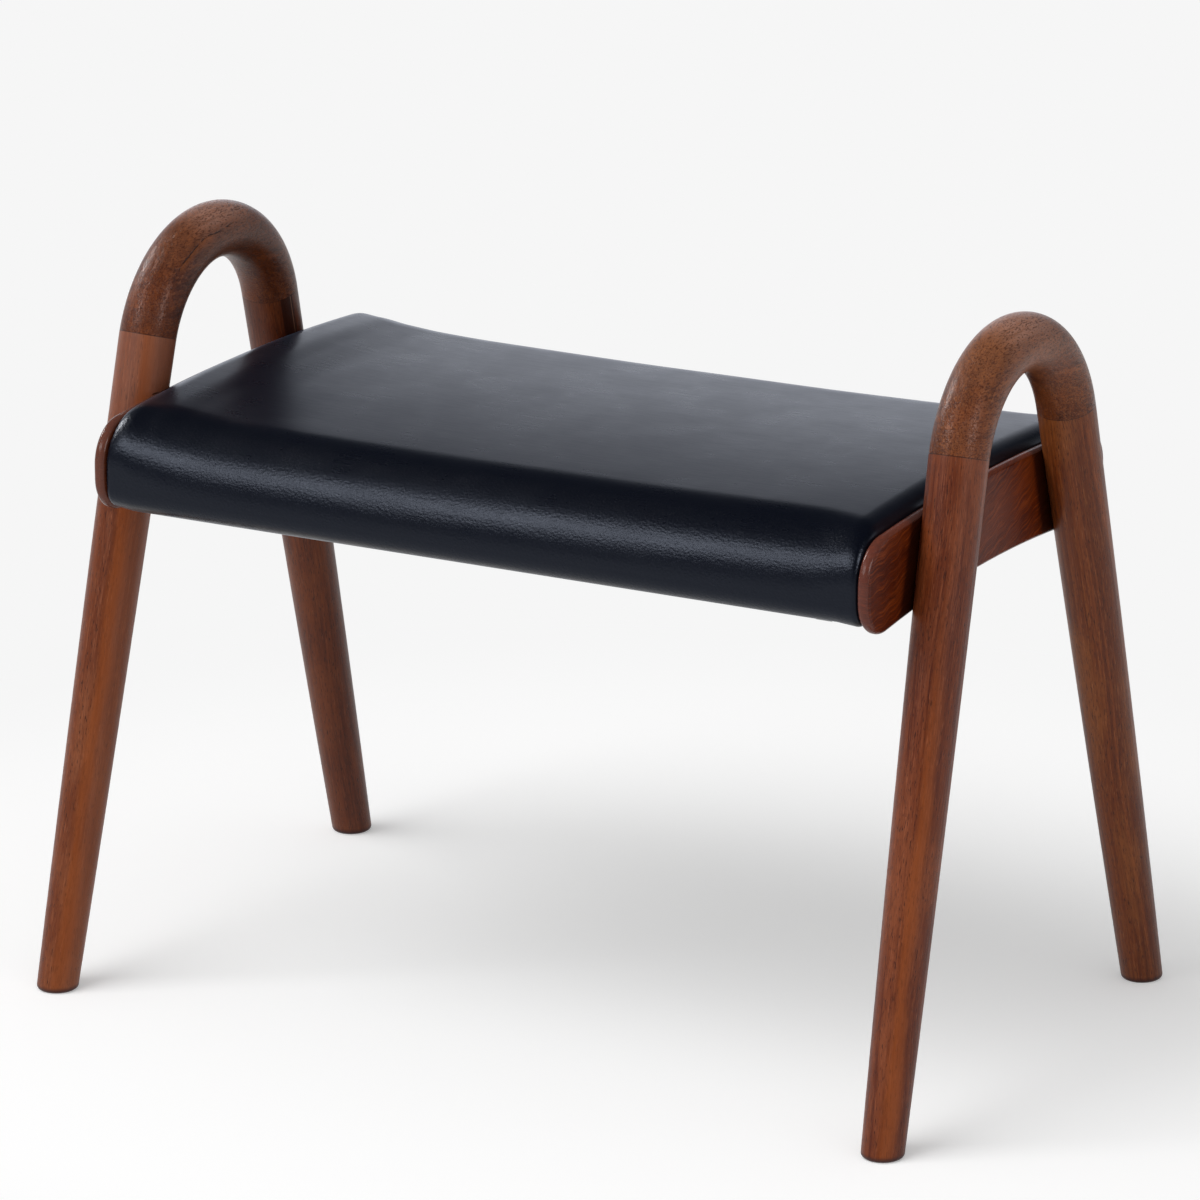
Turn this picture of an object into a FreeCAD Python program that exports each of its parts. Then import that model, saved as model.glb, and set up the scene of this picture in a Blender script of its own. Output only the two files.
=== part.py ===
import FreeCAD, Part
import math
import os

# Upholstered teak footstool with a hoop handle at each end, in millimetres.
# +X runs along the seat, +Y to the back and +Z up.
# The origin is on the floor, under the middle of the seat.

Vector = FreeCAD.Vector

# Overall
overall_height = 450.0
frame_spread = 279.8
frame_lean_angle = 1.26
overrun = 12.0

# End frames: two round legs joined by a hoop handle
handle_diameter = 34.4
foot_diameter = 24.9
leg_swell = 0.55
arch_radius = 70.5
leg_splay_angle = 14.8
front_seam_angle = 2.8
foot_edge_round = 2.5
handle_dowel_diameter = 12.0
handle_dowel_length = 60.0
dowel_end_clearance = 1.0
leg_ring_shares = (0.0, 0.35, 0.7, 1.0)

# Side rails between the legs and the seat
rail_crown_drop = 7.0
rail_depth = 53.5
rail_half_length = 150.0
rail_thickness = 7.5
rail_top_rise = 7.0
rail_bottom_rise = 10.6
rail_top_corner = 26.0
rail_bottom_corner = 22.0
rail_edge_round = 3.3
leg_notch_depth = 1.9

# Leather cover
leather_thickness = 1.2
cover_rise = 7.2
cover_setback = 1.5
cover_belly = 0.8
cover_drop = 2.5
cover_side_clearance = 0.2
cover_roll = 38.0
cover_end_roll = 28.0
cover_bottom_corner = 11.0
cover_rim_round = 3.5
cover_dip = 5.4
nose_straight = 1.0
cover_flange = 16.0
cover_skirt = 54.0

# The seat seen from the front: places along its half length, how far the crown
# lies below its highest there as a share of the dip, and the share of the softer
# roll at its edges
cover_stations_shares = (
    (-1.00, 0.96, 0.00),
    (-0.98, 0.35, 0.05),
    (-0.95, 0.08, 0.12),
    (-0.90, 0.08, 0.30),
    (-0.82, 0.44, 0.80),
    (-0.72, 0.80, 0.90),
    (-0.55, 0.97, 1.00),
    (-0.20, 1.00, 1.00),
    (0.10, 0.87, 1.00),
    (0.35, 0.76, 1.00),
    (0.60, 0.52, 1.00),
    (0.73, 0.37, 0.95),
    (0.85, 0.24, 0.80),
    (0.95, 0.18, 0.30),
    (0.98, 0.42, 0.10),
    (1.00, 0.96, 0.00),
)

# Foam, moulded panel and the seat frame under the cover
foam_thickness = 17.0
foam_edge_thickness = 5.0
foam_end_lift = 10.0
panel_thickness = 6.0
core_top_corner = 20.0
core_bottom_corner = 6.0
bar_width = 26.0
batten_thickness = 16.0
corner_block_leg = 32.0
corner_block_height = 20.0
corner_block_lift = 1.5
frame_dowel_diameter = 8.0
frame_dowel_length = 36.0
joint_clearance = 0.2

# Dust cover under the seat
dust_cover_thickness = 0.6
dust_cover_rise = 4.4
dust_cover_reach = 129.5
dust_cover_side_gap = 1.0

# Screws and staples
rail_screw_diameter = 4.5
rail_screw_head = 9.0
rail_screw_length = 32.0
seat_screw_diameter = 4.0
seat_screw_head = 8.0
seat_screw_length = 22.0
panel_screw_diameter = 3.5
panel_screw_head = 7.0
panel_screw_length = 20.0
panel_screw_sink = 0.8
head_share = 0.55
staple_width = 10.0
staple_leg = 8.0
staple_wire = 1.2
staple_thickness = 0.6
staple_gap = 0.05

rail_screw_height_shares = (0.24, 0.71)
seat_screw_place_shares = (-0.4, 0.0, 0.4)
panel_screw_place_shares = (-0.82, -0.28, 0.28, 0.82)
frame_dowel_height_shares = (0.28, 0.62)
cover_staple_count = 11
dust_staple_count = 8
batten_staple_place_shares = (-0.72, -0.24, 0.24, 0.72)

# Values that follow from the sizes above
lean = math.radians(frame_lean_angle)
splay = math.radians(leg_splay_angle)
handle_radius = handle_diameter / 2
foot_radius = foot_diameter / 2
arch_centre_height = (overall_height - handle_radius) / math.cos(lean) - arch_radius
seam_y = arch_radius * math.cos(splay)
seam_z = arch_centre_height + arch_radius * math.sin(splay)
leg_length = seam_z / math.cos(splay)
front_seam_lift = arch_radius * math.radians(front_seam_angle)
rail_crown_height = arch_centre_height - rail_crown_drop
rail_bottom_crown = rail_crown_height - rail_depth


def arch_curve(half_length, rise):
    """Radius of an arch that rises this much over this half length."""
    return (half_length ** 2 + rise ** 2) / (2 * rise)


rail_top_curve = arch_curve(rail_half_length, rail_top_rise)
rail_bottom_curve = arch_curve(rail_half_length, rail_bottom_rise)


def leg_axis_y(height):
    """Distance of a leg's axis from the middle plane, at a height."""
    return seam_y + (seam_z - height) * math.tan(splay)


def leg_axis_x(height):
    """Distance of an end frame's plane from the middle, at a height."""
    return frame_spread - height * math.tan(lean)


def leg_radius(along_share):
    """Radius of the turned leg at a share of its length, from its taper and swell."""
    taper = handle_radius + (foot_radius - handle_radius) * along_share
    return taper + 4 * leg_swell * along_share * (1 - along_share)


rail_middle_height = rail_crown_height - rail_depth / 2
rail_share = (seam_z - rail_middle_height) / seam_z
rail_face = leg_axis_x(rail_middle_height) - leg_radius(rail_share) + leg_notch_depth
rail_inner_face = rail_face - rail_thickness
cover_half_length = rail_inner_face - cover_side_clearance
cover_crown = rail_crown_height + cover_rise
cover_bottom = rail_bottom_crown - cover_drop
core_half_length = cover_half_length - leather_thickness - joint_clearance
core_nose = rail_half_length - cover_setback - leather_thickness - foam_edge_thickness
core_bottom = cover_bottom + leather_thickness
panel_top = cover_crown - cover_dip - leather_thickness - foam_thickness
panel_bottom = panel_top - panel_thickness
core_curve = rail_top_curve - (cover_crown - panel_top)
bar_inner = core_nose - bar_width
flange_inner = rail_half_length - cover_setback - cover_bottom_corner - cover_flange
batten_inner = core_half_length - batten_thickness
dust_crown = cover_bottom + dust_cover_rise - staple_gap
dust_curve = arch_curve(flange_inner, dust_cover_rise)


def export(name, shape):
    """Writes one sub-part and prints its volume."""
    solids = shape.Solids
    if not solids or not shape.isValid():
        raise ValueError("bad shape: " + name)
    shape.exportStep("parts/" + name + ".step")
    print(name, len(solids), round(shape.Volume, 1))


def mirrored(shape):
    """The same shape at the left end of the stool."""
    return shape.mirror(Vector(0, 0, 0), Vector(1, 0, 0))


def box(x0, x1, y0, y1, z0, z1):
    """A box between two corners."""
    return Part.makeBox(x1 - x0, y1 - y0, z1 - z0, Vector(x0, y0, z0))


def leaned(shape):
    """Stands a frame piece, drawn in the plane x = 0, at the right end."""
    placed = shape.copy()
    placed.rotate(Vector(0, 0, 0), Vector(0, 1, 0), -frame_lean_angle)
    placed.translate(Vector(frame_spread, 0, 0))
    return placed


def rounded_outline(x, nose, crown, crown_radius, top_corner, bottom, bottom_corner, bottom_radius):
    """Outline in a plane across the stool: arched top, straight noses, round corners.

    The underside is flat where bottom_radius is zero, and else arched."""
    low_y = nose - bottom_corner
    if bottom_radius:
        bottom_centre = bottom - bottom_radius
        low_z = bottom_centre + math.sqrt((bottom_radius + bottom_corner) ** 2 - low_y ** 2)
        low_angle = math.atan2(low_y, low_z - bottom_centre)
    else:
        low_z = bottom + bottom_corner
        low_angle = 0
    foot_y = low_y - bottom_corner * math.sin(low_angle)
    foot_z = low_z - bottom_corner * math.cos(low_angle)
    turn = (math.pi / 2 - low_angle) / 2
    bend_y = low_y + bottom_corner * math.cos(turn)
    bend_z = low_z - bottom_corner * math.sin(turn)

    top_centre = crown - crown_radius
    lowest = low_z + nose_straight - top_centre
    room = (crown_radius ** 2 - nose ** 2 - lowest ** 2) / (2 * (crown_radius - nose))
    top_corner = min(top_corner, room)
    corner_y = nose - top_corner
    corner_z = top_centre + math.sqrt((crown_radius - top_corner) ** 2 - corner_y ** 2)
    top_angle = math.atan2(corner_y, corner_z - top_centre)
    join_y = corner_y + top_corner * math.sin(top_angle)
    join_z = corner_z + top_corner * math.cos(top_angle)
    half = (math.pi / 2 + top_angle) / 2
    mid_y = corner_y + top_corner * math.sin(half)
    mid_z = corner_z + top_corner * math.cos(half)

    def point(y, z):
        return Vector(x, y, z)

    def arc(a, b, c):
        return Part.Arc(point(*a), point(*b), point(*c)).toShape()

    def line(a, b):
        return Part.LineSegment(point(*a), point(*b)).toShape()

    edges = [
        arc((-join_y, join_z), (0, crown), (join_y, join_z)),
        arc((join_y, join_z), (mid_y, mid_z), (nose, corner_z)),
        line((nose, corner_z), (nose, low_z)),
        arc((nose, low_z), (bend_y, bend_z), (foot_y, foot_z)),
    ]
    if bottom_radius:
        edges.append(arc((foot_y, foot_z), (0, bottom), (-foot_y, foot_z)))
    else:
        edges.append(line((foot_y, foot_z), (-foot_y, foot_z)))
    edges += [
        arc((-foot_y, foot_z), (-bend_y, bend_z), (-nose, low_z)),
        line((-nose, low_z), (-nose, corner_z)),
        arc((-nose, corner_z), (-mid_y, mid_z), (-join_y, join_z)),
    ]
    return Part.Wire(edges)


def prism(wire, length):
    """A solid of one outline, along +X."""
    return Part.Face(wire).extrude(Vector(length, 0, 0))


def arched_slab(radius, crown, depth, half_length, half_width):
    """A block whose top is arched over Y, with its crown at a height."""
    rise = radius - math.sqrt(radius ** 2 - half_width ** 2)
    left = Vector(-half_length, -half_width, crown - rise)
    top = Vector(-half_length, 0, crown)
    right = Vector(-half_length, half_width, crown - rise)
    low_right = Vector(-half_length, half_width, crown - depth)
    low_left = Vector(-half_length, -half_width, crown - depth)
    edges = [
        Part.Arc(left, top, right).toShape(),
        Part.LineSegment(right, low_right).toShape(),
        Part.LineSegment(low_right, low_left).toShape(),
        Part.LineSegment(low_left, left).toShape(),
    ]
    return prism(Part.Wire(edges), 2 * half_length)


# End frames

def leg_axis_point(along):
    """A point on the front leg's axis, this far below the hoop, in the frame's plane."""
    return Vector(0, -seam_y - along * math.sin(splay), seam_z - along * math.cos(splay))


def turned_leg():
    """The front leg in its frame's plane: a round taper with a slight swell."""
    reach = leg_length + overrun
    down = leg_axis_point(leg_length) - leg_axis_point(0)
    rings = []
    for share in leg_ring_shares:
        along = share * reach
        ring = Part.makeCircle(leg_radius(along / leg_length), leg_axis_point(along), down)
        rings.append(Part.Wire(ring))
    return Part.makeLoft(rings, True, False)


def handle_dowel(length, lift):
    """A dowel along the front leg's axis, its middle this far above the leg's straight part."""
    axis = leg_axis_point(length) - leg_axis_point(0)
    start = leg_axis_point(-lift - length / 2)
    return Part.makeCylinder(handle_dowel_diameter / 2, length, start, axis)


def hoop(start_angle, sweep):
    """A stretch of the hoop, round in section; its angles start at the front leg."""
    centre = Vector(0, 0, arch_centre_height)
    start = leg_axis_point(0)
    tangent = leg_axis_point(leg_length) - start
    ring = Part.Face(Part.Wire(Part.makeCircle(handle_radius, start, tangent)))
    ring.rotate(centre, Vector(-1, 0, 0), start_angle)
    return ring.revolve(centre, Vector(-1, 0, 0), sweep)


def handle_arch():
    """The hoop of a handle, from the front seam to the back one."""
    return hoop(front_seam_angle, 180 - 2 * leg_splay_angle - front_seam_angle)


def front_leg_blank():
    """The front leg, which holds the first few degrees of the hoop."""
    return turned_leg().fuse(hoop(0, front_seam_angle))


def behind(shape):
    """The back copy of a front piece."""
    return shape.mirror(Vector(0, 0, 0), Vector(0, 1, 0))


def rounded_foot(leg):
    """Cuts a leg level with the floor and rounds the edge of the foot."""
    reach = frame_spread + leg_length
    leg = leg.cut(box(-reach, reach, -reach, reach, -reach, 0))
    rim = [e for e in leg.Edges if e.BoundBox.ZMax < foot_edge_round / 2]
    return leg.makeFillet(foot_edge_round, rim)


# Side rails and the pieces between them

def rail_outline(x):
    """Outline of a side rail."""
    return rounded_outline(
        x, rail_half_length, rail_crown_height, rail_top_curve, rail_top_corner,
        rail_bottom_crown, rail_bottom_corner, rail_bottom_curve)


def side_rail():
    """The right rail: a thin board with both its faces' edges rounded over."""
    rail = prism(rail_outline(rail_inner_face), rail_thickness)
    rims = []
    for edge in rail.Edges:
        if edge.BoundBox.XLength < rail_thickness / 2:
            rims.append(edge)
    return rail.makeFillet(rail_edge_round, rims)


def rail_seat():
    """What the right rail takes out of the legs behind it."""
    depth = leg_notch_depth + overrun
    return prism(rail_outline(rail_face - depth), depth)


def countersunk_screw(tip, head, diameter, head_diameter):
    """A screw from its flat head's middle to its tip, head and shank in one piece."""
    axis = tip - head
    length = axis.Length
    axis.normalize()
    head_depth = head_share * (head_diameter - diameter)
    shank = Part.makeCylinder(diameter / 2, length, head, axis)
    cone = Part.makeCone(head_diameter / 2, diameter / 2, head_depth, head, axis)
    return shank.fuse(cone).removeSplitter()


def rail_screws():
    """The screws that hold the right rail to its two legs, from inside."""
    screws = []
    for share in rail_screw_height_shares:
        height = rail_crown_height - share * rail_depth
        for side in (-1, 1):
            y = side * leg_axis_y(height)
            head = Vector(rail_inner_face, y, height)
            tip = Vector(rail_inner_face + rail_screw_length, y, height)
            screws.append(countersunk_screw(tip, head, rail_screw_diameter, rail_screw_head))
    return screws


def seat_screws():
    """The screws that hold the seat to the right rail, through its batten."""
    screws = []
    for share in seat_screw_place_shares:
        y = share * rail_half_length
        head = Vector(batten_inner, y, (core_bottom + panel_bottom) / 2)
        tip = head + Vector(seat_screw_length, 0, 0)
        screws.append(countersunk_screw(tip, head, seat_screw_diameter, seat_screw_head))
    return screws


# Seat

def cover_solid(inset):
    """The seat's outer form, or the same form this much smaller all round."""
    sections = []
    for place, dip, soft in cover_stations_shares:
        nose = rail_half_length - cover_setback + soft * cover_belly
        crown = cover_crown - dip * cover_dip
        roll = cover_end_roll + soft * (cover_roll - cover_end_roll)
        sections.append(rounded_outline(
            place * (cover_half_length - inset), nose - inset, crown - inset,
            rail_top_curve - inset, roll - inset, cover_bottom + inset,
            cover_bottom_corner - inset, 0))
    form = Part.makeLoft(sections, True, False)
    end = cover_half_length - inset
    rims = []
    for edge in form.Edges:
        bounds = edge.BoundBox
        if bounds.XLength < cover_rim_round / 2 and abs(abs(bounds.Center.x) - end) < cover_rim_round / 2:
            rims.append(edge)
    return form.makeFillet(cover_rim_round - inset, rims)


def leather_cover():
    """Leather over the top, noses and ends, turned under the front and the back."""
    shell = cover_solid(0).cut(cover_solid(leather_thickness))
    reach = cover_half_length + overrun
    below = cover_bottom - overrun
    above = cover_bottom + 2 * leather_thickness
    underside = box(-reach, reach, -flange_inner, flange_inner, below, above)
    skirt_end = cover_crown - cover_skirt
    left_skirt = box(-reach, -core_half_length, -flange_inner, flange_inner, below, skirt_end)
    return shell.cut(underside).cut(left_skirt).cut(mirrored(left_skirt))


def core_solid(half_length):
    """The outer form of the wooden seat frame and its panel together."""
    outline = rounded_outline(
        -half_length, core_nose, panel_top, core_curve, core_top_corner,
        core_bottom, core_bottom_corner, 0)
    return prism(outline, 2 * half_length)


def under_panel():
    """All that lies below the panel."""
    depth = panel_bottom - cover_bottom + overrun
    return arched_slab(core_curve - panel_thickness, panel_bottom, depth, core_half_length + overrun,
                       rail_half_length)


def over_dust_cover():
    """A block that ends where the dust cover lies."""
    return arched_slab(dust_curve, dust_crown, overrun + dust_cover_rise,
                       core_half_length + overrun, rail_half_length)


def seat_front_bar():
    """The front bar of the seat frame, rounded to carry the cover's nose."""
    limit = box(-core_half_length, core_half_length, -rail_half_length, -bar_inner,
                core_bottom, panel_top)
    return core_solid(core_half_length).common(under_panel()).common(limit)


def seat_batten():
    """The right batten of the seat frame, between the two bars."""
    limit = box(batten_inner, core_half_length, -bar_inner, bar_inner, cover_bottom, panel_top)
    return limit.common(under_panel()).cut(over_dust_cover())


def seat_panel():
    """The moulded plywood panel, arched like the rails and rounded at its long edges."""
    return core_solid(core_half_length).cut(under_panel())


def foam_pad():
    """The foam over the panel, thinned down the front and the back of the frame."""
    reach = core_half_length + overrun
    foam = cover_solid(leather_thickness).cut(core_solid(reach))
    end = cover_bottom + foam_end_lift
    return foam.cut(box(-reach, reach, -rail_half_length, rail_half_length, 0, end))


def corner_block():
    """The glued block in the front right corner of the seat frame."""
    height = dust_crown + corner_block_lift
    corner = Vector(batten_inner, -bar_inner, height)
    along_bar = corner - Vector(corner_block_leg, 0, 0)
    along_batten = corner + Vector(0, corner_block_leg, 0)
    outline = Part.makePolygon([corner, along_bar, along_batten, corner])
    return Part.Face(outline).extrude(Vector(0, 0, corner_block_height))


def frame_dowels():
    """The dowels between the bars and the battens, two in each joint."""
    dowels = []
    x = core_half_length - batten_thickness / 2
    depth = panel_bottom - core_bottom
    for share in frame_dowel_height_shares:
        height = core_bottom + share * depth
        for side in (-1, 1):
            for end in (-1, 1):
                start = Vector(end * x, side * bar_inner - frame_dowel_length / 2, height)
                dowels.append(Part.makeCylinder(
                    frame_dowel_diameter / 2, frame_dowel_length, start, Vector(0, 1, 0)))
    return dowels


def panel_screws():
    """The screws that hold the panel down on the two bars."""
    screws = []
    y = core_nose - bar_width / 2
    surface = panel_top - core_curve + math.sqrt(core_curve ** 2 - y ** 2)
    for share in panel_screw_place_shares:
        for side in (-1, 1):
            head = Vector(share * core_half_length, side * y, surface - panel_screw_sink)
            tip = head - Vector(0, 0, panel_screw_length)
            screws.append(countersunk_screw(tip, head, panel_screw_diameter, panel_screw_head))
    return screws


def screw_access(screw_head, height):
    """The open hole above a sunk screw head."""
    return Part.makeCylinder(panel_screw_head / 2, height, screw_head, Vector(0, 0, 1))


def staple(x, y, surface, depth):
    """A staple along X, its crown under a surface and its legs driven up."""
    half = staple_width / 2
    wire = staple_wire / 2
    crown = box(x - half, x + half, y - wire, y + wire, surface - staple_thickness, surface)
    left = box(x - half, x - half + staple_thickness, y - wire, y + wire, surface, surface + depth)
    right = box(x + half - staple_thickness, x + half, y - wire, y + wire, surface, surface + depth)
    return crown.fuse([left, right]).removeSplitter()


def cover_staples():
    """The staples that hold the cover's flanges under the two bars."""
    staples = []
    y = core_nose - core_bottom_corner - staple_wire - joint_clearance
    reach = core_half_length - batten_thickness - staple_width
    for index in range(cover_staple_count):
        x = reach * (2 * index / (cover_staple_count - 1) - 1)
        for side in (-1, 1):
            staples.append(staple(x, side * y, cover_bottom, staple_leg))
    return staples


def dust_surface(y):
    """Height of the dust cover's lower face."""
    radius = dust_curve - dust_cover_thickness
    return dust_crown - dust_curve + math.sqrt(radius ** 2 - y ** 2)


def dust_cover_staples():
    """The staples along the edges of the dust cover."""
    staples = []
    y = dust_cover_reach - 2 * staple_wire
    reach = core_half_length - batten_thickness - 2 * staple_width
    for index in range(dust_staple_count):
        x = reach * (2 * index / (dust_staple_count - 1) - 1)
        for side in (-1, 1):
            staples.append(staple(x, side * y, dust_surface(y) - staple_gap, staple_leg))
    x = core_half_length - batten_thickness / 2
    for share in batten_staple_place_shares:
        y = share * bar_inner
        for end in (-1, 1):
            staples.append(staple(end * x, y, dust_surface(y + staple_wire) - staple_gap, staple_leg))
    return staples


def dust_cover():
    """The cloth under the seat, arched clear of the rails' lower edges."""
    reach = core_half_length - dust_cover_side_gap
    outer = arched_slab(dust_curve, dust_crown, overrun, reach, dust_cover_reach)
    inner = arched_slab(dust_curve - dust_cover_thickness, dust_crown - dust_cover_thickness,
                        overrun, reach + overrun, rail_half_length)
    return outer.cut(inner)


def make_frames():
    """Both end frames: legs, hoop handles and the dowels across their seams."""
    hole_length = handle_dowel_length + 2 * dowel_end_clearance
    front_hole = handle_dowel(hole_length, front_seam_lift)
    back_hole = behind(handle_dowel(hole_length, 0))
    screws = rail_screws()
    seat = rail_seat()
    legs = {
        "front": rounded_foot(leaned(front_leg_blank().cut(front_hole))),
        "back": rounded_foot(leaned(behind(turned_leg()).cut(back_hole))),
    }
    arch = leaned(handle_arch().cut(front_hole).cut(back_hole))
    dowels = {
        "front": leaned(handle_dowel(handle_dowel_length, front_seam_lift)),
        "back": leaned(behind(handle_dowel(handle_dowel_length, 0))),
    }
    for place, leg in legs.items():
        leg = leg.cut(seat)
        leg = leg.cut(screws)
        export("right_" + place + "_leg", leg)
        export("left_" + place + "_leg", mirrored(leg))
        export("right_" + place + "_handle_dowel", dowels[place])
        export("left_" + place + "_handle_dowel", mirrored(dowels[place]))
    export("right_handle_arch", arch)
    export("left_handle_arch", mirrored(arch))


def make_rails():
    """Both rails and the screws in them."""
    rail_group = rail_screws()
    seat_group = seat_screws()
    rail = side_rail().cut(rail_group).cut(seat_group)
    groups = {"side_rail": rail, "rail_screws": Part.makeCompound(rail_group),
              "seat_screws": Part.makeCompound(seat_group)}
    for name, shape in groups.items():
        export("right_" + name, shape)
        export("left_" + name, mirrored(shape))


def make_seat():
    """The upholstered seat between the rails."""
    right_screws = seat_screws()
    side_screws = right_screws + [mirrored(screw) for screw in right_screws]
    dowels = frame_dowels()
    top_screws = panel_screws()
    leather_staples = cover_staples()
    cloth_staples = dust_cover_staples()

    front_bar = seat_front_bar()
    bars = {"front": front_bar, "back": behind(front_bar)}
    for place, bar in bars.items():
        bar = bar.cut(dowels + top_screws + leather_staples + cloth_staples)
        export("seat_" + place + "_bar", bar)
    batten = seat_batten().cut(dowels + right_screws + cloth_staples)
    export("seat_right_batten", batten)
    export("seat_left_batten", mirrored(batten))

    block = corner_block()
    export("right_front_corner_block", block)
    export("right_back_corner_block", behind(block))
    export("left_front_corner_block", mirrored(block))
    export("left_back_corner_block", mirrored(behind(block)))

    access = []
    for screw in top_screws:
        bounds = screw.BoundBox
        head = Vector(bounds.Center.x, bounds.Center.y, bounds.ZMax)
        access.append(screw_access(head, overrun))
    export("seat_panel", seat_panel().cut(top_screws + access))
    export("foam_pad", foam_pad())
    export("leather_cover", leather_cover().cut(side_screws + leather_staples + cloth_staples))
    export("dust_cover", dust_cover().cut(cloth_staples))
    export("seat_frame_dowels", Part.makeCompound(dowels))
    export("seat_panel_screws", Part.makeCompound(top_screws))
    export("cover_staples", Part.makeCompound(leather_staples))
    export("dust_cover_staples", Part.makeCompound(cloth_staples))


os.makedirs("parts", exist_ok=True)
make_frames()
make_rails()
make_seat()
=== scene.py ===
import math
import bpy
import numpy as np
from mathutils import Matrix, Vector, noise


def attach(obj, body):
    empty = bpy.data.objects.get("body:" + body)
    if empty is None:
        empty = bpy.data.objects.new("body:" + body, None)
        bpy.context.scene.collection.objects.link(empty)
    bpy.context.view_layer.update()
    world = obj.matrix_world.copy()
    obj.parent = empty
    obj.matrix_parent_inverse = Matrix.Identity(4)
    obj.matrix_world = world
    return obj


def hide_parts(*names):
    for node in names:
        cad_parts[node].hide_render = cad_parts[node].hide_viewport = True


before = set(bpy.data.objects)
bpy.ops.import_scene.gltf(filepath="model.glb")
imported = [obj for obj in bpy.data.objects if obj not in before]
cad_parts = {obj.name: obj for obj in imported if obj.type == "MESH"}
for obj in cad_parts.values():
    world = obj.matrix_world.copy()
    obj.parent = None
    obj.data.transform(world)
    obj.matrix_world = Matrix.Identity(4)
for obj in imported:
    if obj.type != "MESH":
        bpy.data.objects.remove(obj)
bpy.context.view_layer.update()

MM = 0.001
PER_METRE = (1000, 1000, 1000)

# Sizes of the stool, in millimetres. They are those of the CAD source, rounded. The scene's
# own are the leather's roll, stations, rounded ends and uneven lower edges, the gap round
# the foam and the dust cover's waves.

# End frames and rails
FRAME_SPREAD = 279.8
LEAN = math.radians(1.26)
SPLAY = math.radians(14.8)
ARCH_RADIUS = 70.5
ARCH_CENTRE = 362.4
SEAM_Y = ARCH_RADIUS * math.cos(SPLAY)
SEAM_Z = ARCH_CENTRE + ARCH_RADIUS * math.sin(SPLAY)
FRONT_SEAM = math.radians(2.8)
RAIL_HALF = 150.0

# Leather
LEATHER = 1.2
TOP_CURVE = 1610.64
COVER_HALF = 249.96
COVER_CROWN = 362.6
COVER_BOTTOM = 299.4
COVER_SETBACK = 1.5
COVER_BELLY = 0.8
COVER_DIP = 5.4
COVER_ROLL = 40.5
COVER_END_ROLL = 28.0
BOTTOM_CORNER = 11.0
NOSE_STRAIGHT = 1.0
RIM_ROUND = 3.5
END_ROUND = 19.0
END_REACH = 12.9
FLANGE_INNER = 121.5
SKIRT_Z = 308.6
EDGE_HEIGHT = 24.0
EDGE_END = 16.0
EDGE_SLOPE = 0.0066
EDGE_SHIFT = -0.2

# The seat from end to end: share of its half length, of the dip and of the soft roll
STATIONS = (
    (-1.00, 0.06, 0.25),
    (-0.90, 0.12, 0.85),
    (-0.82, 0.46, 1.00),
    (-0.72, 0.80, 1.00),
    (-0.55, 0.97, 1.00),
    (-0.20, 1.00, 1.00),
    (0.10, 0.87, 1.00),
    (0.35, 0.76, 1.00),
    (0.60, 0.52, 1.00),
    (0.73, 0.37, 1.00),
    (0.85, 0.26, 0.95),
    (0.95, 0.18, 0.50),
    (1.00, 0.16, 0.10),
)

# Cloth simulation of the leather: what is held in millimetres, the settings, the step from
# one simulated row to the next, and the cap in millimetres and share of what is taken
HELD_HEIGHT = 13.0
HELD_END = 5.0
HELD_FADE = 20.0
SLACK = 0.0010
CLOTH_FRAMES = 20
CLOTH_QUALITY = 6
CLOTH_MASS = 0.4
CLOTH_STRETCH = 30.0
CLOTH_SHEAR = 12.0
CLOTH_BENDING = 0.4
CLOTH_COARSE = 2
CLOTH_CAP = 0.35
CLOTH_SHARE = 0.1

# Panel and foam under the leather
CORE_NOSE = 142.3
CORE_TOP = 339.0
CORE_BOTTOM = 300.6
CORE_CURVE = 1587.04
CORE_CORNER = 20.0
CORE_LOW_CORNER = 6.0
FOAM_END = 309.4
FOAM_GAP = 0.05

# Dust cover under the seat
DUST_CROWN = 303.76
DUST_CURVE = 1679.7
DUST_REACH = 129.5
DUST_HALF = 247.56
DUST_THICK = 0.6
DUST_HANG = 0.6
WAVE_HEIGHT = 0.5
WAVE_LENGTH = 60
WAVE_WIDTH = 34
WAVE_SEED = 3.1

# Points: on an outline's top, roll, nose and lower corner, and along the pieces
COUNTS = (44, 22, 9, 9)
FLANGE_COUNT = 8
END_COUNT = 12
BODY_COUNT = 177
RIM_COUNT = 6
WALL_SHARES = (0.1, 0.25, 0.5, 0.8)
FOAM_COUNT = 60
FOAM_ROWS = 61
DUST_COUNTS = (99, 61)
FLOOR_COUNT = 96

# The least lengths to divide by
SMALL = 1e-6
TINY = 1e-9


def linear(red, green, blue):
    """A colour given in sRGB from 0 to 255, as the shaders want it."""
    def one(value):
        value /= 255
        return value / 12.92 if value <= 0.04045 else ((value + 0.055) / 1.055) ** 2.4
    return (one(red), one(green), one(blue), 1.0)


def shaded(tone, factor, lift=0.0):
    """A tone made darker or lighter."""
    return tuple(min(1.0, part * factor + lift) for part in tone[:3]) + (1,)


def clamped(share):
    return min(max(share, 0), 1)


def eased(share):
    return share ** 2 * (3 - 2 * share)


def direction(azimuth, elevation):
    """The way from the object; azimuth 0 is the front and 90 degrees the right."""
    level = math.cos(elevation)
    return Vector((math.sin(azimuth) * level, -math.cos(azimuth) * level, math.sin(elevation)))


def added_object(name, data):
    thing = bpy.data.objects.new(name, data)
    bpy.context.scene.collection.objects.link(thing)
    return thing


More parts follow.
